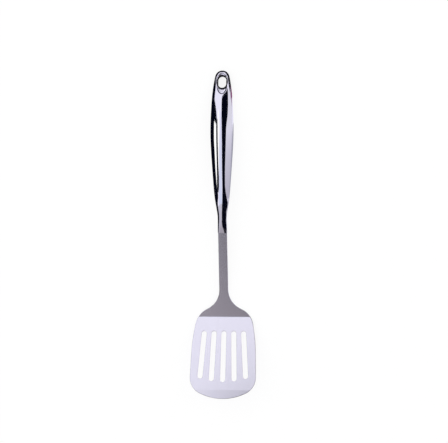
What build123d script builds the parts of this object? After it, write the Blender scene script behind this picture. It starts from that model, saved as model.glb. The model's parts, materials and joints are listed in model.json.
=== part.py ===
from build123d import *

import math
import os

# Slotted turner, pressed and welded from stainless steel sheet.
# One pressed blank is the blade, its shoulder, the flat shank and the tang. The handle is two
# hollow half shells that meet on a gently arched parting surface and are welded along it. A
# solid collar plugs the handle's mouth, wraps the tang and thins out to the flat shank, and an
# oval eyelet lines the hang hole.
# The tool lies on a table as it rests: on the heel of the blade and on the end of the handle.
# +Y runs from the blade to the handle's end, +X to the right, +Z up, in millimetres, and the
# origin is on the table under the middle of the whole tool.

# The pressed blank
sheet_thickness = 1.8
edge_radius = 0.5
slot_edge_radius = 0.3
bend_angle = 28.0
crease_radius = 2.1
blade_length = 93.2
blade_width = 74.8
side_inset = 1.3
side_run = 27.0
heel_inset = 6.5
heel_run = 2.9
shoulder_run = 16.6
front_radius = 60.0
corner_radius = 19.0
side_radius = 190.0
heel_radius = 24.0
shoulder_radius = 24.0

# The ground front edge
bevel_length = 10.0
bevel_depth = 1.0

# The drain slots
slot_count = 5
slot_width = 5.8
slot_heel_pitch = 11.1
slot_front_pitch = 12.9
slot_setback = 16.6
slot_front_margin = 18.7
slot_front_radius = 92.0

# Shank, neck and tang
shank_width = 10.1
shank_length = 125.0
neck_angle = 8.0
neck_radius = 160.0
tang_width = 8.0
tang_length = 30.0
tang_shoulder_setback = 26.0
tang_corner_radius = 2.0

# The handle's outside
handle_length = 155.0
handle_width = 25.9
handle_front_depth = 6.5
handle_back_depth = 8.0
handle_arch_radius = 850.0
end_radius = 8.1
end_depth = 4.4
end_rounding = 5.0

# The handle's sheet and the weld that joins its halves through the whole wall
shell_wall = 0.8
seam_height = 0.8

# The collar, from the handle's mouth down to the flat shank
collar_waist_run = 9.0
collar_waist_width = 10.3
collar_waist_depth = 3.8
collar_bar_run = 18.0
collar_bar_width = 10.3
collar_bar_depth = 3.2
collar_length = 27.5
collar_end_width = 10.6
collar_end_depth = 2.6
spigot_length = 9.0

# The hang hole: the dish pressed into each shell and the eyelet
hole_setback = 13.3
hole_width = 9.2
hole_length = 13.5
eyelet_wall = 0.8
lip_reach = 2.4
lip_height = 0.7
lip_inner_radius = 1.9
lip_outer_radius = 0.3
dish_floor = 3.0
dish_width = 13.0
dish_length = 24.4
dish_offset = 2.2
dish_radius = 2.2

# How far a cutting tool runs past what it cuts
overrun = 5.0

# Stations along the handle, from mouth to end: the place as a share of the length, then the
# width, front depth and back depth as shares of the handle's own, and the section's power, which
# is 2 for an ellipse and more for a squarer oval.
handle_station_shares = [
    (0.00, 0.490, 0.400, 0.325, 2.5),
    (0.06, 0.610, 0.530, 0.440, 2.2),
    (0.20, 0.768, 0.720, 0.660, 2.0),
    (0.36, 0.902, 0.890, 0.860, 2.0),
    (0.54, 1.000, 1.000, 1.000, 2.0),
    (0.71, 0.952, 0.950, 0.910, 2.0),
    (0.85, 0.825, 0.800, 0.715, 2.1),
    (0.945, 0.650, 0.680, 0.555, 2.3),
]
end_station_angles = [28.0, 50.0, 68.0, 82.0]
end_power = 2.3
collar_waist_power = 2.4
collar_bar_power = 2.6
collar_end_power = 4.5

# Places worked out from the sizes, while the crease's bisector stands upright
half_bend = math.radians(bend_angle / 2)
neck_bend = math.radians(neck_angle)
mouth_heading = half_bend - neck_bend
neck_run = neck_radius * math.tan(neck_bend / 2)
neck_arc = neck_radius * neck_bend
blade_reach = blade_length * math.cos(half_bend)


def heading(angle):
    """The direction in the YZ plane that rises by the angle as it goes towards the handle."""
    return Vector(0, math.cos(angle), math.sin(angle))


def upright(angle):
    """The direction square to that heading, out of the front of the tool."""
    return Vector(0, -math.sin(angle), math.cos(angle))


neck_corner = heading(half_bend) * (shank_length - neck_arc + neck_run)
mouth = neck_corner + heading(mouth_heading) * neck_run
tang_end = mouth + heading(mouth_heading) * tang_length
tang_foot = mouth.Y - tang_shoulder_setback


def arc_plane(run, radius):
    """The plane square to an arc of that radius that leaves the handle's mouth, with its origin
    on the arc, X across and Y out of the front. The run is counted from the mouth."""
    angle = mouth_heading - run / radius
    along = radius * (math.sin(mouth_heading) - math.sin(angle))
    rise = radius * (math.cos(angle) - math.cos(mouth_heading))
    origin = mouth + Vector(0, along, rise)
    return Plane(origin=origin, x_dir=Vector(1, 0, 0), z_dir=-heading(angle))


def axis_plane(run):
    """The plane square to the tool's centre line, on the handle's arch, the neck or the shank."""
    if run >= 0:
        return arc_plane(run, handle_arch_radius)
    return arc_plane(max(run, -neck_arc), neck_radius).offset(max(0, -neck_arc - run))


def extruded_across(outline, width):
    """A prism of the outline, drawn in the YZ plane, that runs the width to both sides."""
    return extrude(outline, amount=width, dir=(1, 0, 0), both=True)


def rounded(outline, before, corner, after, radius):
    """Rounds the outline's corner, and its mirror image, between the points before and after it.
    The rounding takes up at most half of the stretches beside it."""
    point = Vector(corner)
    one, two = Vector(before) - point, Vector(after) - point
    half_turn = (math.pi - math.radians(one.get_angle(two))) / 2
    largest = min(one.length, two.length) / 2 / math.tan(half_turn)
    ends = [
        outline.vertices().sort_by_distance((side * point.X, point.Y, 0))[0] for side in (1, -1)
    ]
    return fillet(ends, min(radius, largest))


def blank_outline():
    """The pressed blank's outline, looking down the crease's bisector."""
    front_centre = front_radius - blade_reach
    half_blade = blade_width / 2
    corner_y = front_centre - math.sqrt(front_radius**2 - half_blade**2)
    tip = (0, -blade_reach)
    tang_tip = (tang_width / 2, tang_end.Y)
    shoulder = (shank_width / 2, shoulder_run)
    heel = (half_blade - heel_inset, heel_run)
    side = (half_blade - side_inset, -side_run)
    corner = (half_blade, corner_y)
    right = [
        tang_tip,
        (tang_width / 2, tang_foot),
        (shank_width / 2, tang_foot),
        shoulder,
        heel,
        side,
        corner,
    ]
    left = [(-x, y) for x, y in reversed(right)]
    outline = make_face(
        [
            *Polyline(*right).edges(),
            ThreePointArc(corner, tip, left[0]),
            *Polyline(*left).edges(),
            Line(left[-1], tang_tip),
        ]
    )
    radii = {
        corner: corner_radius,
        side: side_radius,
        heel: heel_radius,
        shoulder: shoulder_radius,
        tang_tip: tang_corner_radius,
    }
    path = [left[-1], *right, tip]
    for before, point, after in zip(path, right, path[2:]):
        if point in radii:
            outline = rounded(outline, before, point, after, radii[point])
    return outline


def bent_strip():
    """The sheet, wider than the blade, bent at the crease and at the neck."""
    tip = heading(-half_bend) * -(blade_length + overrun)
    path = FilletPolyline(tip, (0, 0, 0), neck_corner, tang_end, radius=[crease_radius, neck_radius])
    start = Plane(origin=tip, x_dir=Vector(1, 0, 0), z_dir=heading(-half_bend))
    return sweep(start * Rectangle(blade_width + overrun, sheet_thickness), path=path)


def blade_plane():
    """The blade's middle plane: origin at the crease, X across, Y towards the handle."""
    return Plane(origin=(0, 0, 0), x_dir=Vector(1, 0, 0), z_dir=upright(-half_bend))


def drain_slots():
    """The cutters of the slots, which fan out and end on a curve flatter than the front edge."""
    slots = Sketch()
    for index in range(slot_count):
        place = index - (slot_count - 1) / 2
        heel_end = Vector(place * slot_heel_pitch, -slot_setback)
        front_x = place * slot_front_pitch
        front_drop = slot_front_radius - math.sqrt(slot_front_radius**2 - front_x**2)
        front_end = Vector(front_x, front_drop + slot_front_margin - blade_length)
        run = heel_end - front_end
        turn = math.degrees(math.atan2(run.Y, run.X))
        middle = (heel_end + front_end) / 2
        slots += Pos(middle) * SlotOverall(run.length, slot_width, rotation=turn)
    return extrude(blade_plane() * slots, amount=sheet_thickness, both=True)


def front_bevel():
    """The wedge that grinding takes off the top of the front edge."""
    slope = bevel_depth / bevel_length
    top = sheet_thickness / 2
    start = -(blade_length - bevel_length)
    end = -(blade_length + overrun)
    wedge = Polyline(
        (start, top),
        (end, top - slope * (start - end)),
        (end, top + overrun),
        (start + overrun, top + overrun),
        (start + overrun, top + slope * overrun),
        close=True,
    )
    side_plane = Plane(origin=(0, 0, 0), x_dir=heading(-half_bend), z_dir=Vector(1, 0, 0))
    return extruded_across(side_plane * make_face(wedge), blade_width)


def blade_and_shank():
    """Blade, shoulder, shank and tang, from one piece of sheet."""
    height = blade_length + shank_length
    blank = bent_strip() & extrude(blank_outline(), amount=height, both=True)
    blank = fillet([edge for edge in blank.edges() if is_rim(edge)], edge_radius)
    punches = drain_slots()
    punched = blank - punches
    punched = fillet(new_edges(blank, punches, combined=punched), slot_edge_radius)
    return punched - front_bevel()


def is_rim(edge):
    """Whether the edge runs along the outline of the blade or the shank, and neither through the
    sheet, nor across it at a bend, nor along the tang."""
    through = sheet_thickness * math.sin(half_bend + neck_bend) + edge_radius
    runs_along = edge.bounding_box().size.Y > through
    return runs_along and edge.center().Y < tang_foot - edge_radius


def quarter(half_width, depth, pull):
    """A quarter of an oval as one curve, from its side to its top or bottom."""
    side = (half_width, 0)
    side_pull = (half_width, pull * depth)
    top_pull = (pull * half_width, depth)
    return Bezier(side, side_pull, top_pull, (0, depth))


def oval(half_width, front, back, power):
    """A closed section of four curves. Its front and back halves meet on the parting line. The
    pull makes each curve pass where a superellipse of that power crosses its diagonal."""
    pull = (8 * 0.5 ** (1 / power) - 4) / 3
    quarters = [
        quarter(side * half_width, depth, pull) for side in (1, -1) for depth in (front, -back)
    ]
    return make_face([edge for curve in quarters for edge in curve.edges()])


def handle_stations(inset):
    """Each station's run from the mouth, half width, front depth, back depth and power, all
    taken in by the inset."""
    for place, width, front, back, power in handle_station_shares:
        yield (
            place * handle_length,
            width * handle_width / 2 - inset,
            front * handle_front_depth - inset,
            back * handle_back_depth - inset,
            power,
        )
    radius = end_radius - inset
    rounding = end_rounding - inset
    for angle in map(math.radians, end_station_angles):
        run = handle_length - end_radius + radius * math.sin(angle)
        past = max(0.0, run - (handle_length - end_rounding)) / rounding
        depth = (end_depth - inset) * math.sqrt(1 - past**2)
        yield run, radius * math.cos(angle), depth, depth, end_power


def handle_body(inset):
    """The whole handle as one solid, taken in by the inset on every side but its mouth."""
    sections = [
        axis_plane(run) * oval(width, front, back, power)
        for run, width, front, back, power in handle_stations(inset)
    ]
    return loft(sections)


def parting_layer(low, high):
    """The space between two heights over the handle's parting surface, past both its ends."""
    runs = (-overrun, handle_length / 2, handle_length + overrun)
    planes = [arc_plane(run, handle_arch_radius) for run in runs]
    lower = [plane.origin + plane.y_dir * low for plane in planes]
    upper = [plane.origin + plane.y_dir * high for plane in planes]
    outline = make_face(
        [
            ThreePointArc(*lower),
            Line(lower[2], upper[2]),
            ThreePointArc(*reversed(upper)),
            Line(upper[0], lower[0]),
        ]
    )
    return extruded_across(outline, handle_width)


def hole_plane():
    """The parting plane at the hang hole: origin at its middle, X towards the handle's end."""
    section = axis_plane(handle_length - hole_setback)
    return Plane(origin=section.origin, x_dir=-section.z_dir, z_dir=section.y_dir)


def dish(grown):
    """The cutter of the dish around the hang hole, over the front and under the back."""
    outline = SlotOverall(dish_length + 2 * grown, dish_width + 2 * grown)
    front = extrude(Pos(-dish_offset, 0, dish_floor - grown) * outline, amount=handle_width)
    floor_edges = front.faces().sort_by(Axis.Z)[0].edges()
    front = fillet(floor_edges, dish_radius + grown)
    return [hole_plane() * front, hole_plane() * mirror(front, about=Plane.XY)]


def eyelet_outside():
    """The eyelet's tube and its two lips, not yet bored."""
    tube = SlotOverall(hole_length + 2 * eyelet_wall, hole_width + 2 * eyelet_wall)
    lip = SlotOverall(hole_length + 2 * lip_reach, hole_width + 2 * lip_reach)
    body = extrude(tube, amount=dish_floor, both=True)
    flange = extrude(Pos(0, 0, dish_floor) * lip, amount=lip_height)
    flange = fillet(flange.faces().sort_by(Axis.Z)[-1].edges(), lip_outer_radius)
    return body + flange + mirror(flange, about=Plane.XY)


def hang_hole_eyelet():
    """The oval eyelet with its rolled lips, bored through."""
    bore = extrude(SlotOverall(hole_length, hole_width), amount=dish_floor + overrun, both=True)
    eyelet = eyelet_outside() - bore
    mouths = [eyelet.faces().sort_by(Axis.Z)[end] for end in (0, -1)]
    rims = [wire for face in mouths for wire in face.inner_wires()]
    edges = [edge for wire in rims for edge in wire.edges()]
    return hole_plane() * fillet(edges, lip_inner_radius)


def collar_stations():
    """Each station's run from the mouth, half width, front depth, back depth and power."""
    yield next(handle_stations(0))
    for run, width, depth, power in (
        (collar_waist_run, collar_waist_width, collar_waist_depth, collar_waist_power),
        (collar_bar_run, collar_bar_width, collar_bar_depth, collar_bar_power),
        (collar_length, collar_end_width, collar_end_depth, collar_end_power),
    ):
        yield -run, width / 2, depth / 2, depth / 2, power


def neck_collar(blank, cavity):
    """The tapered collar round the tang, with the spigot that plugs the handle's mouth."""
    taper = loft(
        [
            axis_plane(run) * oval(width, front, back, power)
            for run, width, front, back, power in collar_stations()
        ]
    )
    plug_room = extrude(axis_plane(0) * Rectangle(handle_width, handle_width), amount=-spigot_length)
    return taper + (cavity & plug_room) - blank


def as_one_part(solids):
    """What is left of a cut, without crumbs, as one part."""
    kept = solids.solids().sort_by(SortBy.VOLUME)[-1]
    return Part([kept])


def rest_tilt():
    """The angle that lays the heel's curve and the handle's back on one level."""
    heel_centre = crease_radius / math.cos(half_bend)
    heel_round = crease_radius + sheet_thickness / 2
    tilts = []
    for run, _, _, back, _ in handle_stations(0):
        plane = axis_plane(run)
        low = plane.origin - plane.y_dir * back
        rise, reach = low.Z - heel_centre, low.Y
        tilts.append(math.atan2(rise, reach) + math.asin(heel_round / math.hypot(rise, reach)))
    return math.degrees(min(tilts))


def build():
    """Every piece of the tool by name, while the crease's bisector stands upright."""
    blank = blade_and_shank()
    outside = handle_body(0)
    cavity = handle_body(shell_wall)
    for cutter in dish(0):
        outside -= cutter
    for cutter in dish(shell_wall):
        cavity -= cutter
    walls = outside - cavity - hole_plane() * eyelet_outside()
    seam_top = seam_height / 2
    return {
        "blade_and_shank": blank,
        "neck_collar": as_one_part(neck_collar(blank, cavity)),
        "handle_front_shell": as_one_part(walls & parting_layer(seam_top, handle_width)),
        "handle_back_shell": as_one_part(walls & parting_layer(-handle_width, -seam_top)),
        "handle_seam_weld": as_one_part(walls & parting_layer(-seam_top, seam_top)),
        "hang_hole_eyelet": hang_hole_eyelet(),
    }


def main():
    """Lays the tool on the table and writes each piece."""
    pieces = {name: Rot(X=-rest_tilt()) * piece for name, piece in build().items()}
    whole = Compound([solid for piece in pieces.values() for solid in piece.solids()])
    box = whole.bounding_box()
    to_origin = Pos(-box.center().X, -box.center().Y, -box.min.Z)
    os.makedirs("parts", exist_ok=True)
    for name, piece in pieces.items():
        export_step(to_origin * piece, f"parts/{name}.step")


main()
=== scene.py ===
import json
import math

import bmesh
import bpy
from mathutils import Matrix, Vector
from mathutils.geometry import delaunay_2d_cdt


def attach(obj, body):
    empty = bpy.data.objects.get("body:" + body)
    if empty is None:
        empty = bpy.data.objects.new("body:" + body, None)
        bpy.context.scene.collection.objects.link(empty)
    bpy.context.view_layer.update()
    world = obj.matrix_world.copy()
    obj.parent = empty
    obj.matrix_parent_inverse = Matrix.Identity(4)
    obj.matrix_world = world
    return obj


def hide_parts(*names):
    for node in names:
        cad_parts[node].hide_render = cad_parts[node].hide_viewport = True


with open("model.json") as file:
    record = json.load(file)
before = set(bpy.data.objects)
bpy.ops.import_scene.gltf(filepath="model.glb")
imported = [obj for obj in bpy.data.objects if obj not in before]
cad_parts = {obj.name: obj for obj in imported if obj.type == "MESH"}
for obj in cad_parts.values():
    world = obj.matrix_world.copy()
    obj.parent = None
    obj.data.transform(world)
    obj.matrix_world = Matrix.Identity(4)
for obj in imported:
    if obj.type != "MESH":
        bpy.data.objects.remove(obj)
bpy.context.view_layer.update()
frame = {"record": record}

bl_info = {
    "name": "Slotted turner",
    "version": (1, 0, 0),
    "blender": (4, 5, 0),
    "location": "View3D > Sidebar > Turner",
    "description": "Builds a stainless steel slotted turner around its construction model",
    "category": "Add Mesh",
}

# The frame is in metres, with +Y from the blade to the handle's end and +Z up. Every piece
# is laid out along the tool's centre line, whose place comes from the hang hole's mount.
mounts = {mount["name"]: mount for mount in frame["record"]["mounts"]}
hole_centre = Vector(mounts["hang_hole"]["pos_m"])
hole_axis = Vector(mounts["hang_hole"]["axis"]).normalized()
blade_normal = -Vector(mounts["blade_underside"]["axis"]).normalized()

MM = 0.001

# Stations along the handle: the place as a share of its length, then the width, front depth and
# back depth as shares of the handle's own, and the section's power (2 is an ellipse).
handle_station_shares = [
    (0.00, 0.490, 0.400, 0.325, 2.5),
    (0.06, 0.610, 0.530, 0.440, 2.2),
    (0.20, 0.768, 0.720, 0.660, 2.0),
    (0.36, 0.902, 0.890, 0.860, 2.0),
    (0.54, 1.000, 1.000, 1.000, 2.0),
    (0.71, 0.952, 0.950, 0.910, 2.0),
    (0.85, 0.825, 0.800, 0.715, 2.1),
    (0.945, 0.650, 0.680, 0.555, 2.3),
]
end_station_angles = [28.0, 50.0, 68.0, 80.0, 90.0]
end_power = 2.3
# The end of the handle stops just inside the construction model's flat end.
end_reach_share = 0.98
# The powers of the collar's sections at its waist, its bar and its end.
collar_powers = (2.4, 2.6, 4.5)
collar_sharp_angle = math.radians(50)
# Where the underside of the eyelet's lip starts and ends, as shares of the dish floor's height.
lip_foot_share, lip_edge_share = 0.8, 0.95
# Past this share of its radius, the curve at the dish's foot goes on straight, at this slope.
dish_wall_share, dish_wall_slope = 0.96, 3.4
# Where the painted shade in the eyelet's lip roll starts to turn bright and where it is bright,
# out from the bore, as shares of the lip's inner radius, and how far that painted dark ring lies
# to the right and towards the blade.
painted_shade_shares = (0.62, 0.95)
painted_shade_shift = (0.35 * MM, 0.9 * MM)
# How deep the lines of the polish and the grain of the satin finish are.
line_depth, grain_depth = 0.02 * MM, 0.03 * MM

# How finely the meshes follow their curves, and how near two points are that count as one.
corner_points, tip_points, front_points, slot_points, ring_points = 16, 20, 22, 14, 40
rim_steps, slot_rim_steps, lip_rim_steps, lip_roll_steps = 6, 4, 4, 10
crease_cuts, neck_cuts = 12, 14
section_points, collar_rows, grip_rows, end_rows = 96, 60, 110, 150
# The fine rows at the handle's end, in setbacks of the hang hole.
end_rows_reach = 2.6
cut_gap, merge_gap = 1e-8, 1e-7

# The studio: the floor's tones, the lamp's place, the camera's sensor in millimetres, and the
# tones of the dark and the magenta cards.
floor_tones = (0.175, 0.175, 0.175), (0.185, 0.185, 0.185)
lamp_place = Vector((-0.5, 0.3, 1.3))
sensor_width = 36.0
clip_start, clip_end = 0.01, 50
# The dark walls past both ends stand inside the drum, at this share of its radius.
wall_share = 0.75
black = (0.001, 0.0015, 0.006)
magenta = (0.3, 0.05, 0.18)

# The cards that the polish reflects stand on wide drums round the tool. Each has its drum's
# radius as a share of the studio's, its tones at the blade's end and the handle's end, and its
# stations in degrees: the angle up from straight overhead towards the handle's end, then the
# angles to the right between which the card lies.
drum_cards = {
    "camera_card": (1.0, black, black, [
        (29.5, 14, 38.5), (28, 6, 38.5), (27, 0, 38.5), (26, -5, 38.3), (24.3, -6, 38),
        (21.5, -6.2, 37), (19.5, -6.2, 33), (18, -5.8, 29), (16, -5, 22.5), (14, -4.4, 19.5),
        (8, -3.4, 17.5), (4, -3.2, 16.5), (0, -2.9, 15.3), (-3, -1.9, 16.2), (-5, -2.4, 22),
        (-6.5, -3, 28), (-8.5, -3.8, 39), (-10.5, -4.6, 60), (-13, -6.3, 78), (-15, -7, 70),
        (-16.5, -8, 50), (-17.5, -7.6, 32), (-19, -6.7, 23), (-20.5, -6.4, 17), (-22, -6, 12),
        (-23.5, -5.2, 4),
    ]),
    "left_card": (1.0, black, black, [
        (60, -100, -50), (28, -100, -54), (25, -100, -57), (21, -100, -60), (20, -100, -58),
        (15.3, -100, -53), (12, -100, -53), (6.5, -100, -52.5), (4, -100, -50), (0, -100, -49),
        (-1.5, -100, -45.5), (-3, -100, -42), (-5, -100, -33), (-6.5, -100, -29.5),
        (-9, -100, -35), (-11, -100, -40), (-13, -100, -36), (-18, -100, -33), (-40, -100, -32),
    ]),
    "left_cap_card": (1.0, black, black, [
        (20.5, -70, -52), (19.5, -70, -41), (18.3, -68, -35), (16.5, -64, -32), (15, -56, -32.5),
    ]),
    "gap_card": (1.0, black, black, [
        (17, -36, -27.5), (12, -35.5, -26), (6.5, -35, -25.3), (2, -35, -24.5),
        (-1.5, -37, -21.8), (-3.5, -42, -22.8), (-5, -56, -27),
    ]),
    "far_right_card": (1.0, black, black, [
        (60, 40, 90), (30, 48, 90), (26, 62, 90), (22.5, 72, 90),
    ]),
    "pink_card": (0.98, magenta, magenta, [(21.5, 77, 90), (18.3, 79, 90)]),
    "window_card": (1.02, (1.3, 1.33, 1.12), (1.3, 1.33, 1.12), [
        (16, -57, -33), (5, -60, -33), (-1, -57, -35), (-4, -50, -40),
    ]),
    "bright_card": (1.02, (1.2, 1.22, 1.05), (1.2, 1.22, 1.05), [
        (20, -27, -20), (14, -28.5, -15), (8, -28, -17), (0, -26, -20),
    ]),
    "right_edge_card": (1.02, (0.55, 0.55, 0.57), (0.55, 0.55, 0.57), [
        (8, 80, 90), (-9, 62, 90),
    ]),
    "soft_card": (1.04, (0.75, 0.83, 0.9), (0.85, 0.86, 0.92), [
        (20, -12, -3), (10, -16, -3), (0, -20, -4), (-13, -24, -5),
    ]),
    "neck_card": (1.04, (0.28, 0.245, 0.235), (0.66, 0.66, 0.66), [
        (-11.5, -60, 90), (-16, -70, 90), (-30, -80, 90),
    ]),
    "blade_end_card": (1.04, (0.2, 0.172, 0.165), (0.26, 0.225, 0.215), [
        (-30, -80, 90), (-40, -80, 90),
    ]),
    "far_blade_end_card": (1.04, black, black, [(-40, -90, 90), (-75, -90, 90)]),
    "right_card": (1.04, (0.49, 0.48, 0.51), (0.86, 0.86, 0.86), [(14, 15, 90), (-9, 12, 90)]),
    "right_top_card": (1.04, (0.84, 0.84, 0.82), (0.84, 0.84, 0.82), [
        (27, 33, 90), (19, 26, 90), (14, 15, 90),
    ]),
}
card_columns, card_steps = 24, 4


def length(name, value_mm, description):
    """A size that a user may change, given in millimetres and kept in metres."""
    return bpy.props.FloatProperty(
        name=name, description=description, default=value_mm * MM, unit="LENGTH", precision=5
    )


def angle(name, degrees, description):
    return bpy.props.FloatProperty(
        name=name, description=description, default=math.radians(degrees), subtype="ANGLE"
    )


def share(name, value, description):
    return bpy.props.FloatProperty(name=name, description=description, default=value, min=0.0)


def tint(name, value, description):
    return bpy.props.FloatVectorProperty(
        name=name, description=description, default=value, size=3, subtype="COLOR", min=0, max=1
    )


class TurnerBlankSizes(bpy.types.PropertyGroup):
    thickness: length("Sheet thickness", 1.8, "Thickness of the pressed sheet")
    edge_radius: length("Edge radius", 0.5, "Rounding of the blank's rim")
    slot_edge_radius: length("Slot edge radius", 0.3, "Rounding of the slots' edges")
    bend: angle("Crease bend", 28.0, "Angle between the blade and the shank")
    crease_radius: length("Crease radius", 2.1, "Bend radius at the heel of the blade")
    blade_length: length("Blade length", 93.2, "From the crease to the tip")
    blade_width: length("Blade width", 74.8, "Across the front corners, before rounding")
    side_inset: length("Side inset", 1.3, "From the front corners in to where the sides turn")
    side_run: length("Side run", 27.0, "From the crease to where the sides turn")
    heel_inset: length("Heel inset", 6.5, "From the front corners in to the heel's corners")
    heel_run: length("Heel run", 2.9, "From the crease up to the heel's corners")
    shoulder_run: length("Shoulder run", 16.6, "From the crease up to the shank's foot")
    front_radius: length("Front radius", 60.0, "Curve of the front edge")
    corner_radius: length("Corner radius", 19.0, "Rounding of the front corners")
    side_radius: length("Side radius", 190.0, "Rounding where the sides turn")
    heel_radius: length("Heel radius", 24.0, "Rounding of the heel's corners")
    shoulder_radius: length("Shoulder radius", 24.0, "Rounding of the shank's foot")
    bevel_length: length("Bevel length", 10.0, "Ground part of the front edge, from the tip")
    bevel_depth: length("Bevel depth", 1.0, "Metal ground off at the tip")
    bevel_blend: length("Bevel blend", 0.3, "Length over which the bevel's shading sets in")
    bevel_shading: share("Bevel shading", 0.15, "How much of its slope the polished bevel shows")
    slot_count: bpy.props.IntProperty(name="Slots", description="Drain slots", default=5, min=1)
    slot_width: length("Slot width", 5.8, "Width of each drain slot")
    slot_heel_pitch: length("Slot pitch at the heel", 11.1, "Between slots, heel ends")
    slot_front_pitch: length("Slot pitch at the front", 12.9, "Between slots, front ends")
    slot_setback: length("Slot setback", 16.6, "From the crease to the slots")
    slot_margin: length("Slot margin", 18.7, "From the middle slot to the tip")
    slot_front_radius: length("Slot front radius", 92.0, "Curve on which the slots end")
    shank_width: length("Shank width", 10.1, "Width of the flat shank")
    shank_length: length("Shank length", 125.0, "From the crease to the handle's mouth")
    neck_bend: angle("Neck bend", 8.0, "Angle between the shank and the handle's mouth")
    neck_radius: length("Neck radius", 160.0, "Bend radius of the neck")


class TurnerHandleSizes(bpy.types.PropertyGroup):
    length: length("Handle length", 155.0, "Along the centre line")
    width: length("Handle width", 25.9, "At its widest")
    front_depth: length("Front depth", 6.45, "From the parting line to the front")
    back_depth: length("Back depth", 8.0, "From the parting line to the back")
    arch_radius: length("Arch radius", 850.0, "Curve of the centre line")
    end_radius: length("End radius", 8.1, "Rounding of the end, seen from the front")
    end_depth: length("End depth", 4.4, "Half of the end's depth")
    end_rounding: length("End rounding", 5.0, "Rounding of the end, seen from the side")
    seam_height: length("Seam height", 0.8, "Height of the weld between the halves")
    hole_setback: length("Hole setback", 13.3, "From the hole's middle to the end")
    hole_width: length("Hole width", 9.2, "Across the hang hole")
    hole_length: length("Hole length", 13.5, "Along the hang hole")
    eyelet_wall: length("Eyelet wall", 0.8, "Wall of the eyelet's tube")
    lip_reach: length("Lip reach", 2.4, "How far the lip covers the dish")
    lip_height: length("Lip height", 0.7, "How far the lip stands over the dish")
    lip_inner_radius: length("Lip inner radius", 1.9, "Rounding into the hole")
    lip_outer_radius: length("Lip outer radius", 0.3, "Rounding of the lip's rim")
    dish_floor: length("Dish floor", 3.0, "From the parting line to the dish's floor")
    dish_width: length("Dish width", 13.0, "Across the dish")
    dish_length: length("Dish length", 24.4, "Along the dish")
    dish_offset: length("Dish offset", 2.2, "From the hole's middle towards the mouth")
    dish_radius: length("Dish radius", 2.2, "Curve between the dish's floor and wall")
    dish_rim: length("Dish rim", 0.45, "Rounding of the dish's rim")
    waist_run: length("Waist run", 9.0, "From the mouth to the collar's waist")
    waist_width: length("Waist width", 10.3, "Width of the collar's waist")
    waist_depth: length("Waist depth", 3.8, "Depth of the collar's waist")
    bar_run: length("Bar run", 18.0, "From the mouth to the collar's bar")
    bar_width: length("Bar width", 10.3, "Width of the collar's bar")
    bar_depth: length("Bar depth", 3.2, "Depth of the collar's bar")
    collar_length: length("Collar length", 27.5, "From the mouth to the collar's end")
    collar_width: length("Collar width", 10.6, "Width of the collar's end")
    collar_depth: length("Collar depth", 2.6, "Depth of the collar's end")


class TurnerFinish(bpy.types.PropertyGroup):
    steel: tint("Steel", (0.82, 0.80, 0.95), "Colour of the polished steel")
    satin: tint("Satin steel", (0.85, 0.83, 0.98), "Colour of the blade and shank")
    # Painted shade: a near-black colour painted into the eyelet's lip roll, with its roughness
    # below.
    painted_shade: tint("Painted shade", (0.012, 0.012, 0.016), "Colour inside the eyelet's roll")
    polish_roughness: share("Polish roughness", 0.05, "Roughness of the mirror polish")
    satin_roughness: share("Satin roughness", 0.18, "Roughness of the satin finish")
    painted_shade_roughness: share("Painted shade roughness", 0.3, "Roughness inside the eyelet's roll")
    polish_lines: share("Polish lines", 0.007, "How strongly the polishing lines show")
    satin_grain: share("Satin grain", 0.05, "How strongly the satin grain shows")


class TurnerStudio(bpy.types.PropertyGroup):
    camera_distance: length("Camera distance", 1300.0, "From the tool to the camera")
    field: length("Field of view", 501.3, "Width seen at the tool")
    aim_x: length("Aim X", 1.85, "Point aimed at, across the tool")
    aim_y: length("Aim Y", 14.0, "Point aimed at, along the tool")
    aim_z: length("Aim Z", 16.0, "Point aimed at, above the floor")
    lean: angle("Camera lean", 5.95, "How far the camera leans to the right")
    tip: angle("Camera tip", 2.8, "How far the camera leans towards the handle")
    spin: angle("Camera spin", 0.42, "Turn of the picture")
    world_light: share("World light", 0.85, "Strength of the sky on matt surfaces")
    lamp_power: share("Lamp power", 2.0, "Power of the soft lamp, in watts")
    lamp_size: length("Lamp size", 1200.0, "Side of the square lamp")
    floor_reach: length("Floor reach", 4000.0, "From the tool to the floor's edge")
    floor_lift: share("Floor lift", 0.84, "Glow that brings the lit floor up to white")
    drum_radius: length("Drum radius", 8000.0, "From the tool to the cards around it")
    wall_height: length("Wall height", 1900.0, "Height of the dark walls past both ends")


class Wire:
    """An output socket in a node tree that takes part in Python sums."""

    def __init__(self, nodes, socket):
        self.nodes = nodes
        self.socket = socket

    def maths(self, operation, first, second=None):
        inputs = [first] if second is None else [first, second]
        return self.nodes.add("ShaderNodeMath", {"operation": operation}, inputs)

    def __add__(self, other):
        return self.maths("ADD", self, other)

    def __radd__(self, other):
        return self.maths("ADD", other, self)

    def __sub__(self, other):
        return self.maths("SUBTRACT", self, other)

    def __rsub__(self, other):
        return self.maths("SUBTRACT", other, self)

    def __mul__(self, other):
        return self.maths("MULTIPLY", self, other)

    def __rmul__(self, other):
        return self.maths("MULTIPLY", other, self)


class Nodes:
    """A material's or world's node tree, emptied, that nodes are added to."""

    def __init__(self, owner):
        owner.use_nodes = True
        self.tree = owner.node_tree
        self.tree.nodes.clear()

    def add(self, kind, settings=None, inputs=(), output=0):
        """Adds a node, makes its settings, then fills its sockets with values or links."""
        node = self.tree.nodes.new(kind)
        for name, value in (settings or {}).items():
            setattr(node, name, value)
        pairs = inputs.items() if isinstance(inputs, dict) else enumerate(inputs)
        for name, value in pairs:
            if isinstance(value, Wire):
                self.tree.links.new(value.socket, node.inputs[name])
            else:
                node.inputs[name].default_value = value
        return Wire(self, node.outputs[output]) if node.outputs else node


def new_material(name):
    material = bpy.data.materials.new(name)
    return material, Nodes(material)


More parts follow.
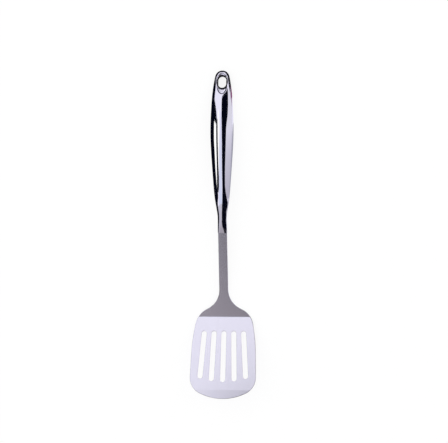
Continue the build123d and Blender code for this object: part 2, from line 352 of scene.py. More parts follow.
def stretched_noise(nodes, stretch, scale, detail):
    """Noise drawn out along the tool, as brushing and polishing leave it."""
    place = nodes.add("ShaderNodeTexCoord", output="Object")
    mapped = nodes.add("ShaderNodeMapping", inputs={"Vector": place, "Scale": (1, stretch, 1)})
    return nodes.add(
        "ShaderNodeTexNoise", inputs={"Vector": mapped, "Scale": scale, "Detail": detail}
    )


def mixed_colour(nodes, factor, dark, light):
    """A colour that goes from dark to light with the factor."""
    return nodes.add(
        "ShaderNodeMix",
        {"data_type": "RGBA"},
        {"Factor": factor, "A": (*dark, 1), "B": (*light, 1)},
        output="Result",
    )


def add_metal(nodes, colour, roughness, lines, strength, depth):
    """Closes a metal of varying colour and roughness, with fine lines in its surface."""
    bump = nodes.add(
        "ShaderNodeBump", inputs={"Strength": strength, "Distance": depth, "Height": lines}
    )
    shader = nodes.add(
        "ShaderNodeBsdfPrincipled",
        inputs={"Base Color": colour, "Metallic": 1.0, "Roughness": roughness, "Normal": bump},
    )
    nodes.add("ShaderNodeOutputMaterial", inputs={"Surface": shader})


def polished_steel(nodes, finish):
    """Mirror-polished stainless steel, with faint lines and clouds left by the polishing wheel."""
    lines = stretched_noise(nodes, stretch=0.06, scale=2600, detail=3)
    clouds = stretched_noise(nodes, stretch=0.5, scale=60, detail=3)
    base, rough = tuple(finish.steel), finish.polish_roughness
    colour = mixed_colour(nodes, clouds, [0.97 * value for value in base], base)
    roughness = rough * 0.6 + rough * 0.8 * clouds
    add_metal(nodes, colour, roughness, lines, finish.polish_lines, line_depth)


def satin_steel(nodes, finish):
    """Satin stainless steel with a fine grain along the tool."""
    grain = stretched_noise(nodes, stretch=0.03, scale=3000, detail=4)
    streaks = stretched_noise(nodes, stretch=0.04, scale=420, detail=2)
    clouds = stretched_noise(nodes, stretch=0.6, scale=34, detail=3)
    base, rough = tuple(finish.satin), finish.satin_roughness
    colour = mixed_colour(nodes, streaks, [0.93 * value for value in base], base)
    roughness = rough * 0.8 + rough * 0.25 * grain + rough * 0.15 * clouds
    add_metal(nodes, colour, roughness, grain, finish.satin_grain, grain_depth)


def eyelet_steel(nodes, finish):
    """The eyelet's polished lip, with painted shade where it rolls into the hole: a dark, duller
    ring.
    """
    handle = bpy.context.scene.turner_handle
    lengthways = along(math.atan2(hole_axis.y, hole_axis.z))
    # The centre of the painted shade ring, moved right and towards the blade.
    painted_shade_centre = hole_centre + Vector((painted_shade_shift[0], 0, 0)) - lengthways * painted_shade_shift[1]
    place = nodes.add("ShaderNodeTexCoord", output="Object")
    offset = nodes.add(
        "ShaderNodeVectorMath", {"operation": "SUBTRACT"}, [place, tuple(painted_shade_centre)]
    )
    down = nodes.add(
        "ShaderNodeVectorMath", {"operation": "DOT_PRODUCT"}, [offset, tuple(lengthways)], "Value"
    )
    across = nodes.add("ShaderNodeSeparateXYZ", inputs=[offset], output="X")
    straight = (handle.hole_length - handle.hole_width) / 2
    past = down.maths("MAXIMUM", down.maths("ABSOLUTE", down) - straight, 0.0)
    distance = down.maths("SQRT", across * across + past * past) - handle.hole_width / 2
    start, end = (value * handle.lip_inner_radius for value in painted_shade_shares)
    painted_shade = nodes.add(
        "ShaderNodeMapRange",
        {"interpolation_type": "SMOOTHSTEP"},
        {"Value": distance, "From Min": start, "From Max": end},
    )
    lines = stretched_noise(nodes, stretch=1, scale=2600, detail=3)
    # Painted shade: the lip's roll is coloured near black and made rougher, in a ring round the
    # bore.
    colour = mixed_colour(nodes, painted_shade, finish.painted_shade, finish.steel)
    dull = finish.painted_shade_roughness
    roughness = dull - (dull - finish.polish_roughness) * painted_shade
    add_metal(nodes, colour, roughness, lines, finish.polish_lines, line_depth)


steel_makers = {
    "mirror_polished_steel": polished_steel,
    "satin_ground_steel": satin_steel,
    # The eyelet's finish paints shade into its lip roll.
    "painted_shade_eyelet_steel": eyelet_steel,
}


def steel(name):
    """The named finish, made once."""
    found = bpy.data.materials.get(name)
    if found:
        return found
    material, nodes = new_material(name)
    steel_makers[name](nodes, bpy.context.scene.turner_finish)
    return material


def turned(tilt):
    """The unit vector that leans from +Z towards +Y by the angle."""
    return Vector((0, math.sin(tilt), math.cos(tilt)))


def along(tilt):
    """The unit vector square to it, towards the handle's end."""
    return Vector((0, math.cos(tilt), -math.sin(tilt)))


class CentreLine:
    """The tool's centre line. Runs are counted from the handle's mouth, towards its end."""

    def __init__(self, blank, handle):
        self.blank = blank
        self.handle = handle
        self.hole_run = handle.length - handle.hole_setback
        self.hole_tilt = math.atan2(hole_axis.y, hole_axis.z)
        self.mouth_tilt = self.hole_tilt - self.hole_run / handle.arch_radius
        self.arch_centre = hole_centre - turned(self.hole_tilt) * handle.arch_radius
        self.mouth = self.arch_centre + turned(self.mouth_tilt) * handle.arch_radius
        self.neck_arc = blank.neck_radius * blank.neck_bend
        self.neck_centre = self.mouth - turned(self.mouth_tilt) * blank.neck_radius
        self.shank_tilt = self.mouth_tilt - blank.neck_bend
        neck_foot = self.neck_centre + turned(self.shank_tilt) * blank.neck_radius
        self.crease = neck_foot - along(self.shank_tilt) * (blank.shank_length - self.neck_arc)
        self.blade_tilt = math.atan2(blade_normal.y, blade_normal.z)

    def at(self, run):
        """The centre line's point at a run, and how far its normal leans towards +Y."""
        if run >= 0:
            tilt = self.mouth_tilt + run / self.handle.arch_radius
            return self.arch_centre + turned(tilt) * self.handle.arch_radius, tilt
        if run >= -self.neck_arc:
            tilt = self.mouth_tilt + run / self.blank.neck_radius
            return self.neck_centre + turned(tilt) * self.blank.neck_radius, tilt
        from_crease = run + self.blank.shank_length
        bend_half = self.blank.bend / 2
        tangent = self.blank.crease_radius * math.tan(bend_half)
        if abs(from_crease) < tangent:
            bisector = (self.shank_tilt + self.blade_tilt) / 2
            tilt = bisector - bend_half * from_crease / tangent
            reach = self.blank.crease_radius / math.cos(bend_half)
            centre = self.crease + turned(bisector) * reach
            return centre - turned(tilt) * self.blank.crease_radius, tilt
        tilt = self.shank_tilt if from_crease > 0 else self.blade_tilt
        return self.crease + along(tilt) * from_crease, tilt

    def place(self, x, run, height):
        point, tilt = self.at(run)
        return point + turned(tilt) * height + Vector((x, 0, 0))

    def direction(self, run, across, lengthways, out):
        tilt = self.at(run)[1]
        return Vector((across, 0, 0)) + along(tilt) * lengthways + turned(tilt) * out


def centre_line():
    scene = bpy.context.scene
    return CentreLine(scene.turner_blank, scene.turner_handle)


def arc_points(centre, radius, start, end, count):
    """Points of an arc, between two angles, both ends included."""
    turns = [start + (end - start) * index / (count - 1) for index in range(count)]
    return [centre + Vector((math.cos(t), math.sin(t))) * radius for t in turns]


def angle_of(vector):
    return math.atan2(vector.y, vector.x)


def nearest_turn(start, end):
    """The end angle, moved by whole turns to within half a turn of the start."""
    while end - start > math.pi:
        end -= 2 * math.pi
    while start - end > math.pi:
        end += 2 * math.pi
    return end


def corner_arc(before, corner, after, radius):
    """The arc that rounds a corner of a polygon."""
    one = (before - corner).normalized()
    two = (after - corner).normalized()
    half = math.acos(max(-1.0, min(1.0, one.dot(two)))) / 2
    centre = corner + (one + two).normalized() * (radius / math.sin(half))
    reach = radius / math.tan(half)
    start = angle_of(corner + one * reach - centre)
    end = nearest_turn(start, angle_of(corner + two * reach - centre))
    return arc_points(centre, radius, start, end, corner_points)


def front_corner_arc(side, corner, front_centre, front_radius, radius):
    """The arc that rounds the corner between a blade's side and its curved front edge."""
    direction = (corner - side).normalized()
    inward = Vector((direction.y, -direction.x))
    start = side + inward * radius - front_centre
    half_b = start.dot(direction)
    c = start.length_squared - (front_radius - radius) ** 2
    centre = front_centre + start + direction * (-half_b + math.sqrt(half_b**2 - c))
    from_side = angle_of(-inward)
    to_front = nearest_turn(from_side, angle_of(centre - front_centre))
    return arc_points(centre, radius, from_side, to_front, tip_points)


def blank_outline(blank, end_run):
    """The blank's outline, right side then left, from the shank's end round the tip. X is across
    and Y is the run from the crease, positive towards the handle."""
    lean = math.cos(blank.bend / 2)
    reach = blank.blade_length * lean
    front_centre = Vector((0, blank.front_radius - reach))
    corner_x = blank.blade_width / 2
    corner_y = front_centre.y - math.sqrt(blank.front_radius**2 - corner_x**2)
    shank = Vector((blank.shank_width / 2, end_run * lean))
    shoulder = Vector((blank.shank_width / 2, blank.shoulder_run))
    heel = Vector((corner_x - blank.heel_inset, blank.heel_run))
    side = Vector((corner_x - blank.side_inset, -blank.side_run))
    corner = Vector((corner_x, corner_y))
    tip_arc = front_corner_arc(
        side, corner, front_centre, blank.front_radius, blank.corner_radius
    )
    front_start = angle_of(tip_arc[-1] - front_centre)
    tip_turn = -math.pi / 2
    front = arc_points(
        front_centre, blank.front_radius, front_start, tip_turn, front_points
    )
    right = [
        shank,
        *corner_arc(shank, shoulder, heel, blank.shoulder_radius),
        *corner_arc(shoulder, heel, side, blank.heel_radius),
        *corner_arc(heel, side, corner, blank.side_radius),
        *tip_arc,
        *front[1:],
    ]
    left = [Vector((-point.x, point.y)) for point in reversed(right[:-1])]
    return [Vector((point.x, point.y / lean)) for point in right + left]


def slot_outline(heel_end, front_end, radius, count):
    """An obround between two ends, given where its round ends stop."""
    direction = (heel_end - front_end).normalized()
    turn = angle_of(direction)
    upper = heel_end - direction * radius
    lower = front_end + direction * radius
    quarter = math.pi / 2
    return [
        *arc_points(upper, radius, turn - quarter, turn + quarter, count),
        *arc_points(lower, radius, turn + quarter, turn + 3 * quarter, count),
    ]


def slot_outlines(blank):
    """The drain slots, which fan out and end on a curve flatter than the front edge."""
    outlines = []
    front_radius = blank.slot_front_radius
    for index in range(blank.slot_count):
        place = index - (blank.slot_count - 1) / 2
        heel_end = Vector((place * blank.slot_heel_pitch, -blank.slot_setback))
        front_x = place * blank.slot_front_pitch
        drop = front_radius - math.sqrt(front_radius**2 - front_x**2)
        front_end = Vector((front_x, drop + blank.slot_margin - blank.blade_length))
        outlines.append(slot_outline(heel_end, front_end, blank.slot_width / 2, slot_points))
    return outlines


def outward_normals(loop):
    """At each point of a loop, the normal that leads away from the metal on its left."""
    normals = []
    for index, point in enumerate(loop):
        before = loop[index - 1]
        after = loop[(index + 1) % len(loop)]
        edge = ((point - before).normalized() + (after - point).normalized()).normalized()
        normals.append(Vector((edge.y, -edge.x)))
    return normals


def is_counterclockwise(loop):
    area = sum(a.x * b.y - b.x * a.y for a, b in zip(loop, loop[1:] + loop[:1]))
    return area > 0


def quarter_turns(steps):
    """Even angles from 0 to a right angle."""
    return [math.pi / 2 * index / steps for index in range(steps + 1)]


def rim_profile(thickness, radius, steps):
    """Insets and heights round a rounded rim, from the top face to the bottom face, each with
    how far its normal leans outwards and upwards."""
    top = thickness / 2 - radius
    rows = []
    for turn in quarter_turns(steps):
        out, up = math.sin(turn), math.cos(turn)
        rows.append((radius * (1 - out), top + radius * up, out, up))
    return rows + [(inset, -height, out, -up) for inset, height, out, up in reversed(rows)]


def bridge(mesh, one, two):
    """Joins two closed rings of vertices with faces."""
    for index in range(len(one)):
        after = (index + 1) % len(one)
        mesh.faces.new((two[after], two[index], one[index], one[after]))


class SheetBuilder:
    """Builds the flat blank in a bmesh, whose layers remember each vertex's flat normal and how
    far it moves along the blank with height."""

    def __init__(self, blank):
        self.thickness = blank.thickness
        self.half_bend = blank.bend / 2
        self.crease_half = blank.crease_radius * math.tan(self.half_bend)
        self.mesh = bmesh.new()
        self.normal = self.mesh.verts.layers.float_vector.new("flat_normal")
        self.slant = self.mesh.verts.layers.float.new("slant")

    def vertex(self, point, height, normal, slant):
        vertex = self.mesh.verts.new((point.x, point.y, height))
        vertex[self.normal] = normal
        vertex[self.slant] = slant
        return vertex

    def rim_slant(self, point):
        """How far the rim moves along the blank with height, as the blank is cut out down the
        crease's bisector."""
        bent = max(-1.0, min(1.0, point.y / self.crease_half))
        return bent * math.tan(self.half_bend)

    def add_rim(self, loop, radius, steps, is_hole):
        """Adds a rounded rim round the outline or a hole, and returns its inset top and bottom
        rows of vertices."""
        if is_counterclockwise(loop) == is_hole:
            loop = list(reversed(loop))
        normals = outward_normals(loop)
        rows = []
        for inset, height, out, up in rim_profile(self.thickness, radius, steps):
            row = []
            for point, normal in zip(loop, normals):
                slant = 0.0 if is_hole else self.rim_slant(point)
                place = point - normal * inset
                flat = Vector((normal.x * out, normal.y * out, up - slant * normal.y * out))
                row.append(self.vertex(place, height, flat.normalized(), slant))
            rows.append(row)
        for upper, lower in zip(rows, rows[1:]):
            bridge(self.mesh, lower, upper)
        return rows[0], rows[-1]

    def fill(self, rows, upwards):
        """Fills the face between the outline's row and the holes' rows."""
        vertices = [vertex for row in rows for vertex in row]
        points = [Vector((vertex.co.x, vertex.co.y)) for vertex in vertices]
        loops, start = [], 0
        for row in rows:
            loop = list(range(start, start + len(row)))
            start += len(row)
            loops.append(loop if is_counterclockwise([points[i] for i in loop]) else loop[::-1])
        inside_triangles = 2
        filled = delaunay_2d_cdt(points, [], loops, inside_triangles, cut_gap)
        for face in filled[2]:
            corners = [vertices[index] for index in face]
            self.mesh.faces.new(corners if upwards else list(reversed(corners)))

    def cut_across(self, run):
        """Cuts the blank straight across, so that it can bend there."""
        bmesh.ops.bisect_plane(
            self.mesh,
            geom=[*self.mesh.verts, *self.mesh.edges, *self.mesh.faces],
            dist=cut_gap,
            plane_co=(0, run, 0),
            plane_no=(0, 1, 0),
        )


def bend_runs(line, blank):
    """The runs from the crease at which the blank is cut across to follow its bends."""
    tangent = blank.crease_radius * math.tan(blank.bend / 2)
    crease = [tangent * (2 * index / crease_cuts - 1) for index in range(crease_cuts + 1)]
    neck_start = blank.shank_length - line.neck_arc
    neck = [neck_start + line.neck_arc * index / neck_cuts for index in range(neck_cuts + 1)]
    return crease + neck


def grind_front(vertex, blank, layer):
    """Lowers the top of the front edge to its ground bevel."""
    past = -vertex.co.y - (blank.blade_length - blank.bevel_length)
    slope = blank.bevel_depth / blank.bevel_length
    limit = blank.thickness / 2 - slope * past
    if past <= merge_gap or vertex.co.z <= limit:
        return
    vertex.co.z = limit
    normal = Vector(vertex[layer])
    faces_up = normal.z > 0.2
    if faces_up:
        lean = Vector((0, -slope * blank.bevel_shading, 0))
        vertex[layer] = (normal + lean * normal.z).normalized()


def linked(name, data):
    """A new object in the scene."""
    made = bpy.data.objects.new(name, data)
    bpy.context.scene.collection.objects.link(made)
    return made


# Each piece's finish, its body, its material slot and the construction node it stands for.
pieces = {
    "turner_blank": ("satin_ground_steel", "root", "satin_steel", "blade_and_shank"),
    "turner_front_shell": (
        "mirror_polished_steel", "root", "polished_steel", "handle_front_shell"
    ),
    "turner_back_shell": ("mirror_polished_steel", "root", "polished_steel", "handle_back_shell"),
    "turner_seam": ("mirror_polished_steel", "root", "seam_steel", "handle_seam_weld"),
    # The eyelet's finish has painted shade in its lip roll.
    "turner_eyelet": ("painted_shade_eyelet_steel", "root", "eyelet_steel", "hang_hole_eyelet"),
    "turner_collar": ("mirror_polished_steel", "root", "neck_steel", "neck_collar"),
}


def finish_piece(name, form, normals=None, sharp_angle=None):
    """Makes a smooth piece of a bmesh, in the place of its construction node."""
    finish, body, slot, node = pieces[name]
    mesh = bpy.data.meshes.new(name)
    form.to_mesh(mesh)
    form.free()
    if sharp_angle:
        mesh.set_sharp_from_angle(angle=sharp_angle)
    for polygon in mesh.polygons:
        polygon.use_smooth = True
    if normals:
        mesh.normals_split_custom_set_from_vertices(normals)
    mesh.materials.append(steel(finish))
    piece = linked(name, mesh)
    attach(piece, body)
    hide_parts(node)


def build_blank():
    """Blade, shoulder and shank in one sheet, bent at the crease and the neck."""
    scene = bpy.context.scene
    blank = scene.turner_blank
    line = centre_line()
    builder = SheetBuilder(blank)
    outline = blank_outline(blank, blank.shank_length - scene.turner_handle.bar_run)
    rims = [builder.add_rim(outline, blank.edge_radius, rim_steps, False)]
    for slot in slot_outlines(blank):
        rims.append(builder.add_rim(slot, blank.slot_edge_radius, slot_rim_steps, True))
    builder.fill([top for top, _ in rims], True)
    builder.fill([bottom for _, bottom in rims], False)
    bevel_start = blank.bevel_length - blank.blade_length
    builder.cut_across(bevel_start)
    builder.cut_across(bevel_start - blank.bevel_blend)
    for vertex in builder.mesh.verts:
        grind_front(vertex, blank, builder.normal)
        vertex.co.y += vertex.co.z * vertex[builder.slant]
    for run in bend_runs(line, blank):
        builder.cut_across(run)
    normals = []
    for vertex in builder.mesh.verts:
        flat = Vector(vertex[builder.normal])
        # A cut through the rim can leave a vertex without a clear normal.
        if flat.length < 0.5:
            flat = Vector((0, 0, math.copysign(1, vertex.co.z)))
        run = vertex.co.y - blank.shank_length
        normals.append(line.direction(run, flat.x, flat.y, flat.z).normalized())
        vertex.co = line.place(vertex.co.x, run, vertex.co.z)
    finish_piece("turner_blank", builder.mesh, normals=normals)


def natural_spline(knots, values):
    """Second derivatives of the natural cubic spline through the values."""
    count = len(knots)
    bends, scales = [0.0] * count, [0.0] * count
    for i in range(1, count - 1):
        before, after = knots[i] - knots[i - 1], knots[i + 1] - knots[i]
        rise = (values[i + 1] - values[i]) / after - (values[i] - values[i - 1]) / before
        pivot = 2 * (before + after) - before * scales[i - 1]
        scales[i] = after / pivot
        bends[i] = (6 * rise - before * bends[i - 1]) / pivot
    for i in reversed(range(1, count - 1)):
        bends[i] -= scales[i] * bends[i + 1]
    return bends


def spline_at(knots, values, bends, place):
    """The natural cubic spline's value at a place."""
    i = max(index for index in range(len(knots) - 1) if knots[index] <= place)
    span = knots[i + 1] - knots[i]
    a, b = (knots[i + 1] - place) / span, (place - knots[i]) / span
    curve = (a**3 - a) * bends[i] + (b**3 - b) * bends[i + 1]
    return a * values[i] + b * values[i + 1] + curve * span**2 / 6


class StationCurves:
    """Natural cubic splines through a row of stations, one for each of their values."""

    def __init__(self, knots, stations):
        self.knots = knots
        self.columns = [(column, natural_spline(knots, column)) for column in zip(*stations)]

    def at(self, place):
        """The values at a place along the knots."""
        place = min(max(place, 0.0), self.knots[-1])
        return [spline_at(self.knots, column, bends, place) for column, bends in self.columns]


def handle_station(handle, shares):
    """A station of the handle: run, half width, front depth, back depth and power."""
    place, width, front, back, power = shares
    depths = front * handle.front_depth, back * handle.back_depth
    return (place * handle.length, width * handle.width / 2, *depths, power)


def section_point(turn, half_width, depth, power):
    """A point of a section between an ellipse and a rectangle, at a turn from +X."""
    cosine, sine = math.cos(turn), math.sin(turn)
    x = math.copysign(abs(cosine) ** (2 / power), cosine) * half_width
    return x, math.copysign(abs(sine) ** (2 / power), sine) * depth


class HandleForm:
    """The handle's outside, as smooth curves through its stations."""

    def __init__(self, line):
        handle = line.handle
        self.handle = handle
        self.line = line
        stations = [handle_station(handle, shares) for shares in handle_station_shares]
        for turn in map(math.radians, end_station_angles):
            radius = handle.end_radius
            reach = handle.length - radius + radius * math.sin(turn)
            past = max(0.0, reach - (handle.length - handle.end_rounding)) / handle.end_rounding
            depth = handle.end_depth * math.sqrt(max(0.0, 1 - past**2))
            stations.append((reach, radius * math.cos(turn), depth, depth, end_power))
        knots = [0.0]
        for one, two in zip(stations, stations[1:]):
            knots.append(knots[-1] + math.hypot(two[0] - one[0], two[1] - one[1]))
        self.curves = StationCurves(knots, stations)

    def places(self):
        """Places for the mesh's rows: coarse along the grip, fine round the hang hole."""
        total = self.curves.knots[-1]
        start = total - end_rows_reach * self.handle.hole_setback
        places = [start * index / grip_rows for index in range(grip_rows)]
        places += [start + (total - start) * index / end_rows for index in range(end_rows + 1)]
        return places

    def dish_height(self, lengthways, across, surface):
        """The front's height over the parting plane, with the dish pressed into it."""
        handle = self.handle
        a, b = handle.dish_length / 2, handle.dish_width / 2
        p, q = lengthways + handle.dish_offset, across
        k = math.hypot(p / a, q / b)
        if k < merge_gap:
            return min(surface, handle.dish_floor)
        distance = k * (k - 1) / math.hypot(p / a**2, q / b**2)
        radius = handle.dish_radius
        past = distance + radius
        if past <= 0:
            wall = handle.dish_floor
        elif past < radius * dish_wall_share:
            wall = handle.dish_floor + radius - math.sqrt(radius**2 - past**2)
        else:
            start = radius * dish_wall_share
            foot = radius - math.sqrt(radius**2 - start**2)
            wall = handle.dish_floor + foot + (past - start) * dish_wall_slope
        blend = handle.dish_rim
        gap = max(blend - abs(surface - wall), 0.0) / blend
        return min(surface, wall) - gap**2 * blend / 4

    def inside_hole(self, lengthways, across, grown):
        handle = self.handle
        radius = handle.hole_width / 2
        straight = handle.hole_length / 2 - radius
        past = max(abs(lengthways) - straight, 0.0)
        return math.hypot(past, across) < radius + grown


def shell_rows(form, side):
    """The points of one half of the handle, row by row, with the dish pressed in. The side is 1
    for the front and -1 for the back. Each point comes with its place from the hang hole."""
    handle, line = form.handle, form.line
    seam = handle.seam_height / 2
    out = turned(line.hole_tilt)
    lengthways = along(line.hole_tilt)
    grid = []
    for place in form.places():
        run, half_width, front, back, power = form.curves.at(place)
        run = min(run, handle.length - (1 - end_reach_share) * handle.end_rounding)
        depth = front if side > 0 else back
        start = math.asin(min(1.0, (seam / max(depth, seam)) ** (power / 2)))
        points = []
        for index in range(section_points + 1):
            turn = start + (math.pi - 2 * start) * index / section_points
            x, height = section_point(turn, half_width, max(depth, 0.0), power)
            point = line.place(x, run, side * height)
            offset = point - hole_centre
            p, h = offset.dot(lengthways), offset.dot(out) * side
            lowered = form.dish_height(p, x, h) if abs(p) < handle.dish_length else h
            points.append((point + out * side * (lowered - h), p, x))
        grid.append(points)
    return grid


def build_shell(name, side):
    """One half shell of the handle, with its dish and the opening for the eyelet."""
    form = HandleForm(centre_line())
    grid = shell_rows(form, side)
    mesh = bmesh.new()
    rows = [[mesh.verts.new(point) for point, _, _ in row] for row in grid]
    for i in range(len(rows) - 1):
        for j in range(section_points):
            (_, near_p, near_x), (_, far_p, far_x) = grid[i][j], grid[i + 1][j + 1]
            middle = (near_p + far_p) / 2, (near_x + far_x) / 2
            if form.inside_hole(*middle, form.handle.eyelet_wall):
                continue
            face = (rows[i][j], rows[i][j + 1], rows[i + 1][j + 1], rows[i + 1][j])
            mesh.faces.new(face if side < 0 else face[::-1])
    loose = [vertex for vertex in mesh.verts if not vertex.link_faces]
    bmesh.ops.delete(mesh, geom=loose, context="VERTS")
    bmesh.ops.remove_doubles(mesh, verts=mesh.verts, dist=merge_gap)
    finish_piece(name, mesh)


def build_seam():
    """The weld between the halves, ground flush and polished."""
    form = HandleForm(centre_line())
    pairs = list(zip(shell_rows(form, 1), shell_rows(form, -1)))
    mesh = bmesh.new()
    right, left = (
        [(mesh.verts.new(f[end][0]), mesh.verts.new(b[end][0])) for f, b in pairs]
        for end in (0, -1)
    )
    loop = right + left[::-1]
    for (up, down), (next_up, next_down) in zip(loop, loop[1:]):
        mesh.faces.new((up, down, next_down, next_up))
    bmesh.ops.remove_doubles(mesh, verts=mesh.verts, dist=merge_gap)
    bmesh.ops.recalc_face_normals(mesh, faces=mesh.faces)
    finish_piece("turner_seam", mesh)


def eyelet_profile(handle):
    """Outward offsets from the bore's wall and heights over the parting plane, once round."""
    floor, top = handle.dish_floor, handle.dish_floor + handle.lip_height
    outer, inner = handle.lip_outer_radius, handle.lip_inner_radius
    upper = [
        (handle.eyelet_wall, floor * lip_foot_share),
        (handle.lip_reach, floor * lip_edge_share),
    ]
    for turn in quarter_turns(lip_rim_steps):
        offset = handle.lip_reach - outer * (1 - math.cos(turn))
        upper.append((offset, top - outer * (1 - math.sin(turn))))
    for turn in quarter_turns(lip_roll_steps)[1:]:
        upper.append((inner * (1 - math.sin(turn)), top - inner * (1 - math.cos(turn))))
    return upper + [(offset, -height) for offset, height in reversed(upper)]


def build_eyelet():
    """The oval eyelet with its rounded lips."""
    handle = bpy.context.scene.turner_handle
    tilt = centre_line().hole_tilt
    out, lengthways = turned(tilt), along(tilt)
    end = Vector((0, handle.hole_length / 2))
    ring = slot_outline(end, -end, handle.hole_width / 2, ring_points)
    mesh = bmesh.new()
    rows = []
    for point, normal in zip(ring, outward_normals(ring)):
        row = []
        for offset, height in eyelet_profile(handle):
            flat = point + normal * offset
            place = hole_centre + Vector((flat.x, 0, 0)) + lengthways * flat.y + out * height
            row.append(mesh.verts.new(place))
        rows.append(row)
    for row, after in zip(rows, rows[1:] + rows[:1]):
        bridge(mesh, row, after)
    bmesh.ops.recalc_face_normals(mesh, faces=mesh.faces)
    finish_piece("turner_eyelet", mesh)


def build_collar():
    """The tapered collar between the shank and the handle's mouth."""
    handle = bpy.context.scene.turner_handle
    line = centre_line()
    stations = [handle_station(handle, handle_station_shares[0])]
    for power, run, width, depth in zip(
        collar_powers,
        (handle.waist_run, handle.bar_run, handle.collar_length),
        (handle.waist_width, handle.bar_width, handle.collar_width),
        (handle.waist_depth, handle.bar_depth, handle.collar_depth),
    ):
        stations.append((run, width / 2, depth / 2, depth / 2, power))
    curves = StationCurves([station[0] for station in stations], stations)
    mesh = bmesh.new()
    rows = []
    for index in range(collar_rows + 1):
        place = handle.collar_length * index / collar_rows
        run, half_width, front, back, power = curves.at(place)
        row = []
        for step in range(section_points):
            turn = 2 * math.pi * step / section_points
            depth = front if math.sin(turn) > 0 else back
            x, height = section_point(turn, half_width, depth, power)
            row.append(mesh.verts.new(line.place(x, -run, height)))
        rows.append(row)
    for one, two in zip(rows, rows[1:]):
        bridge(mesh, one, two)
    mesh.faces.new(rows[0])
    mesh.faces.new(rows[-1][::-1])
    bmesh.ops.recalc_face_normals(mesh, faces=mesh.faces)
    finish_piece("turner_collar", mesh, sharp_angle=collar_sharp_angle)


def card_material(name, low, high):
    """A plain glow that goes from one level at the blade's end to another at the handle's."""
    material, nodes = new_material(name)
    place = nodes.add("ShaderNodeTexCoord", output="Generated")
    share_along = nodes.add("ShaderNodeSeparateXYZ", inputs=[place], output="Y")
    tone = mixed_colour(nodes, share_along, low, high)
    glow = nodes.add("ShaderNodeEmission", inputs={"Color": tone, "Strength": 1.0})
    nodes.add("ShaderNodeOutputMaterial", inputs={"Surface": glow})
    return material


def stage_object(name, points, faces, material):
    """An object of the studio, made of points and faces."""
    mesh = bpy.data.meshes.new(name)
    mesh.from_pydata(points, [], faces)
    mesh.materials.append(material)
    made = linked(name, mesh)
    return made


def add_card(name, points, faces, low, high):
    """A card that only the tool's reflections show."""
    card = stage_object(name, points, faces, card_material(name + "_tone", low, high))
    card.visible_camera = False
    card.visible_diffuse = False
    card.visible_shadow = False
    card.visible_transmission = False
    card.visible_volume_scatter = False


def add_drum_card(name, stations, radius, low, high):
    """A card bent to the drum, through its stations."""
    rows = []
    for one, two in zip(stations, stations[1:]):
        rows += [
            [a + (b - a) * step / card_steps for a, b in zip(one, two)]
            for step in range(card_steps)
        ]
    rows.append(stations[-1])
    points = []
    for tip, left, right in rows:
        reach = radius * math.tan(math.radians(tip))
        for index in range(card_columns + 1):
            turn = math.radians(left + (right - left) * index / card_columns)
            points.append((radius * math.sin(turn), reach, radius * math.cos(turn)))
    width = card_columns + 1
    faces = [
        (width * i + j, width * i + j + 1, width * (i + 1) + j + 1, width * (i + 1) + j)
        for i in range(len(rows) - 1)
        for j in range(card_columns)
    ]
    add_card(name, points, faces, low, high)


def rectangle(left, right, near, far, height):
    """The corners of a level rectangle, between two places across and two along."""
    return [(left, near, height), (right, near, height), (right, far, height), (left, far, height)]


def build_cards(studio):
    """The cards that give the polish its bands."""
    for name, (drum, low, high, stations) in drum_cards.items():
        add_drum_card(name, stations, drum * studio.drum_radius, low, high)
    one_face = [(0, 1, 2, 3)]
    high, far = studio.wall_height, wall_share * studio.drum_radius
    for name, y in (("handle_end_wall", far), ("blade_end_wall", -far)):
        corners = [(-far, y, 0), (far, y, 0), (far, y, high), (-far, y, high)]
        add_card(name, corners, one_face, black, black)
    # The cards on the floor lie just above it. Their places are in millimetres.
    lift, reach = 0.2, studio.floor_reach / MM
    for name, left, right, near, far, tone in (
        ("left_floor_card", -reach, -6, -85, reach, black),
        ("end_floor_card", -10, 300, 168, reach, black),
        ("hole_floor_card", -10, 12, 150, 168, black),
        ("pink_floor_card", 12, 90, 155, 168, magenta),
        ("handle_floor_card", 12, reach, -60, 125, (0.4, 0.4, 0.42)),
        ("crease_floor_card", 20, 300, -104, -85, black),
        ("right_floor_card", 36, reach, -250, -104, (0.05, 0.05, 0.06)),
    ):
        corners = rectangle(*(value * MM for value in (left, right, near, far, lift)))
        add_card(name, corners, one_face, tone, tone)


def seen_directly(nodes):
    """1 for rays from the camera, from polish and through glass, else 0."""
    camera = nodes.add("ShaderNodeLightPath", output="Is Camera Ray")
    glossy, through = (
        Wire(nodes, camera.socket.node.outputs[name])
        for name in ("Is Glossy Ray", "Is Transmission Ray")
    )
    return camera.maths("MAXIMUM", camera.maths("MAXIMUM", camera, glossy), through)


def build_floor(studio):
    """A white floor that keeps the tool's shadow."""
    material, nodes = new_material("pale_floor")
    grain = stretched_noise(nodes, stretch=1, scale=40, detail=2)
    matt = nodes.add(
        "ShaderNodeBsdfDiffuse", inputs={"Color": mixed_colour(nodes, grain, *floor_tones)}
    )
    glow = seen_directly(nodes) * studio.floor_lift
    lift = nodes.add("ShaderNodeEmission", inputs={"Strength": glow})
    both = nodes.add("ShaderNodeAddShader", inputs=[matt, lift])
    nodes.add("ShaderNodeOutputMaterial", inputs={"Surface": both})
    reach = studio.floor_reach
    stage_object("floor", rectangle(-reach, reach, -reach, reach, 0), [(0, 1, 2, 3)], material)


def build_world(studio):
    """A plain sky: white to the camera and in reflections, softer on matt surfaces."""
    world = bpy.data.worlds.new("studio_sky")
    bpy.context.scene.world = world
    nodes = Nodes(world)
    level = studio.world_light + (1.0 - studio.world_light) * seen_directly(nodes)
    sky = nodes.add("ShaderNodeBackground", inputs={"Color": (1, 1, 1, 1), "Strength": level})
    nodes.add("ShaderNodeOutputWorld", inputs={"Surface": sky})


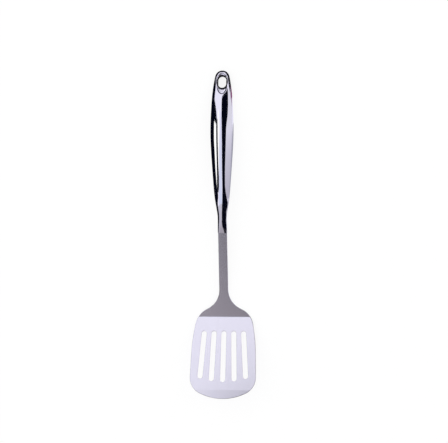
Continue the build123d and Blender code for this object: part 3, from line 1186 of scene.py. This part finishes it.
def build_lamp(studio):
    """One large soft lamp, high on the left, that reflections don't show."""
    data = bpy.data.lights.new("soft_lamp", "AREA")
    data.size = studio.lamp_size
    data.energy = studio.lamp_power
    lamp = linked("soft_lamp", data)
    lamp.location = lamp_place
    lamp.rotation_euler = (-lamp_place).to_track_quat("-Z", "Y").to_euler()
    lamp.visible_glossy = False


def build_camera(studio):
    """The camera looks almost straight down, leaning a little to the right."""
    lean, tip, spin = studio.lean, studio.tip, studio.spin
    right = Vector((math.cos(lean), 0, -math.sin(lean)))
    back = Vector((math.sin(lean) * math.cos(tip), math.sin(tip), math.cos(lean) * math.cos(tip)))
    up = back.cross(right)
    turned_right = right * math.cos(spin) - up * math.sin(spin)
    turned_up = right * math.sin(spin) + up * math.cos(spin)
    data = bpy.data.cameras.new("camera")
    data.sensor_width = sensor_width
    data.lens = sensor_width * studio.camera_distance / studio.field
    data.clip_start = clip_start
    data.clip_end = clip_end
    camera = linked("camera", data)
    aim = Vector((studio.aim_x, studio.aim_y, studio.aim_z))
    axes = Matrix((turned_right, turned_up, back)).transposed().to_4x4()
    camera.matrix_world = Matrix.Translation(aim + back * studio.camera_distance) @ axes
    bpy.context.scene.camera = camera


class TURNER_OT_blank(bpy.types.Operator):
    """Build the blade, shoulder and shank"""

    bl_idname = "turner.blank"
    bl_label = "Blade and shank"

    def execute(self, context):
        build_blank()
        return {"FINISHED"}


class TURNER_OT_shells(bpy.types.Operator):
    """Build the two half shells of the handle"""

    bl_idname = "turner.shells"
    bl_label = "Handle shells"

    def execute(self, context):
        build_shell("turner_front_shell", 1)
        build_shell("turner_back_shell", -1)
        return {"FINISHED"}


class TURNER_OT_seam(bpy.types.Operator):
    """Build the weld between the half shells"""

    bl_idname = "turner.seam"
    bl_label = "Handle seam"

    def execute(self, context):
        build_seam()
        return {"FINISHED"}


class TURNER_OT_eyelet(bpy.types.Operator):
    """Build the eyelet of the hang hole"""

    bl_idname = "turner.eyelet"
    bl_label = "Hang hole eyelet"

    def execute(self, context):
        build_eyelet()
        return {"FINISHED"}


class TURNER_OT_collar(bpy.types.Operator):
    """Build the collar at the handle's mouth"""

    bl_idname = "turner.collar"
    bl_label = "Neck collar"

    def execute(self, context):
        build_collar()
        return {"FINISHED"}


class TURNER_OT_stage(bpy.types.Operator):
    """Set up the floor, light, cards and camera"""

    bl_idname = "turner.stage"
    bl_label = "Studio"

    def execute(self, context):
        studio = context.scene.turner_studio
        build_floor(studio)
        build_world(studio)
        build_lamp(studio)
        build_cards(studio)
        build_camera(studio)
        context.scene.view_settings.view_transform = "Standard"
        return {"FINISHED"}


class TURNER_PT_panel(bpy.types.Panel):
    """Buttons for the pieces of the turner and its studio"""

    bl_idname = "TURNER_PT_panel"
    bl_label = "Slotted turner"
    bl_space_type = "VIEW_3D"
    bl_region_type = "UI"
    bl_category = "Turner"

    def draw(self, context):
        for operator in operators:
            self.layout.operator(operator.bl_idname)


groups = {
    "turner_blank": TurnerBlankSizes,
    "turner_handle": TurnerHandleSizes,
    "turner_finish": TurnerFinish,
    "turner_studio": TurnerStudio,
}
operators = [
    TURNER_OT_blank,
    TURNER_OT_shells,
    TURNER_OT_seam,
    TURNER_OT_eyelet,
    TURNER_OT_collar,
    TURNER_OT_stage,
]
classes = [*groups.values(), *operators, TURNER_PT_panel]


def register():
    for cls in classes:
        bpy.utils.register_class(cls)
    for name, group in groups.items():
        setattr(bpy.types.Scene, name, bpy.props.PointerProperty(type=group))


def unregister():
    for name in groups:
        delattr(bpy.types.Scene, name)
    for cls in reversed(classes):
        bpy.utils.unregister_class(cls)


def main():
    register()
    bpy.ops.turner.blank()
    bpy.ops.turner.shells()
    bpy.ops.turner.seam()
    bpy.ops.turner.eyelet()
    bpy.ops.turner.collar()
    bpy.ops.turner.stage()


if __name__ == "__main__":
    main()
